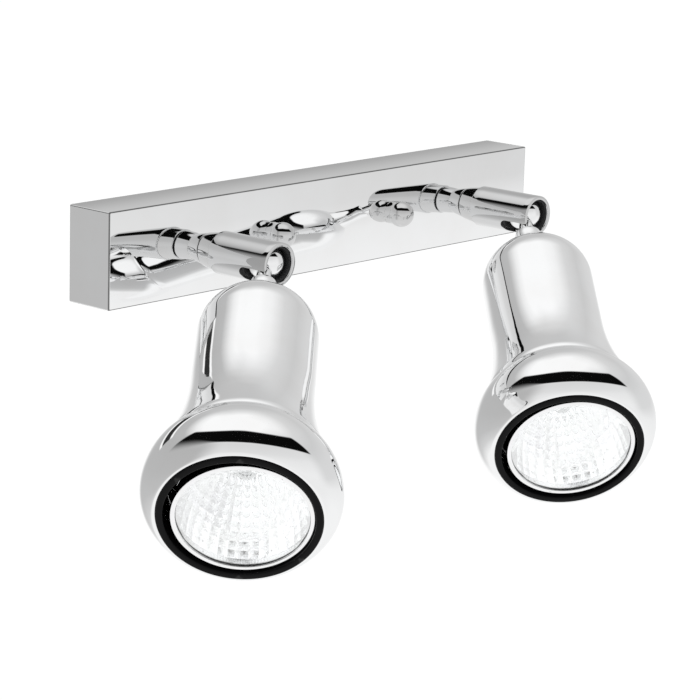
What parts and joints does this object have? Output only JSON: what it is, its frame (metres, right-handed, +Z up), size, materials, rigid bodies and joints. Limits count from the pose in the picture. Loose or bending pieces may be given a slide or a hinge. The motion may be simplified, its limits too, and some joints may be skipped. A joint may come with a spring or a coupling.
{
  "type": "wall spotlight",
  "caption": "Chrome wall spotlight: a box-shaped bar with bell-shaped reflector heads on ball-jointed swivel arms.",
  "frame": {"origin": "centre of the bar's back plane, on the wall", "axes": "+X along the bar, -Y to the front away from the wall, +Z up"},
  "size_m": [0.3206, 0.1733, 0.1151],
  "materials": {
    "chrome": "mirror-polished chrome plate",
    "zinc_steel": "zinc-plated steel",
    "spring_steel": "bright spring steel",
    "brass": "bright brass",
    "nylon": "black nylon",
    "black_ring": "glossy black",
    "bakelite": "off-white heat-proof moulding",
    "terminal": "natural polyamide",
    "rubber": "black rubber",
    "wire": "insulated lead",
    "lamp_metal": "bright aluminium",
    "mirror_glass": "aluminised pressed glass",
    "clear_glass": "clear glass"
  },
  "bodies": {
    "bar": {"bar_cover": "chrome", "base_collar_left": "chrome", "base_collar_right": "chrome", "block_screw": "zinc_steel", "bracket_studs": "zinc_steel", "cable_grommet": "rubber", "cap_nuts": "chrome", "earth_screw": "zinc_steel", "feed_wires": "wire", "swivel_bolt_left": "zinc_steel", "swivel_bolt_right": "zinc_steel", "swivel_lock_nuts": "zinc_steel", "swivel_spring_washers": "spring_steel", "swivel_washer_left": "nylon", "swivel_washer_right": "nylon", "terminal_block": "terminal", "terminal_clamps": "brass", "terminal_screws": "zinc_steel", "wall_bracket": "zinc_steel"},
    "arm_left": {"arm_shoulder_left": "chrome", "arm_tube_left": "chrome", "ball_cup_left": "nylon", "ball_ring_left": "nylon", "ball_spring_left": "spring_steel"},
    "arm_right": {"arm_shoulder_right": "chrome", "arm_tube_right": "chrome", "ball_cup_right": "nylon", "ball_ring_right": "nylon", "ball_spring_right": "spring_steel"},
    "head_left": {"ball_stud_left": "chrome", "dome_nut_left": "zinc_steel", "front_ring_left": "black_ring", "lamp_cap_left": "lamp_metal", "lamp_capsule_left": "clear_glass", "lamp_glass_left": "clear_glass", "lamp_reflector_left": "mirror_glass", "lampholder_contact_left": "brass", "lampholder_left": "bakelite", "lampholder_sleeve_left": "brass", "neck_collar_left": "chrome", "shade_left": "chrome"},
    "head_right": {"ball_stud_right": "chrome", "dome_nut_right": "zinc_steel", "front_ring_right": "black_ring", "lamp_cap_right": "lamp_metal", "lamp_capsule_right": "clear_glass", "lamp_glass_right": "clear_glass", "lamp_reflector_right": "mirror_glass", "lampholder_contact_right": "brass", "lampholder_right": "bakelite", "lampholder_sleeve_right": "brass", "neck_collar_right": "chrome", "shade_right": "chrome"}
  },
  "joints": [
    {"name": "swivel_left", "type": "hinge", "parent": "bar", "child": "arm_left", "pos_m": [-0.0785, -0.022, 0], "axis": [0, -1, 0], "range_deg": [-114, 36]},
    {"name": "tilt_left", "type": "hinge", "parent": "arm_left", "child": "head_left", "pos_m": [-0.0785, -0.0591, 0], "axis": [-0.5592, 0, 0.829], "range_deg": [-45.3, 54.7]},
    {"name": "swivel_right", "type": "hinge", "parent": "bar", "child": "arm_right", "pos_m": [0.0785, -0.022, 0], "axis": [0, -1, 0], "range_deg": [-10.5, 219.5]},
    {"name": "tilt_right", "type": "hinge", "parent": "arm_right", "child": "head_right", "pos_m": [0.0785, -0.0591, 0], "axis": [-0.6494, 0, 0.7604], "range_deg": [-50.6, 49.4]}
  ]
}
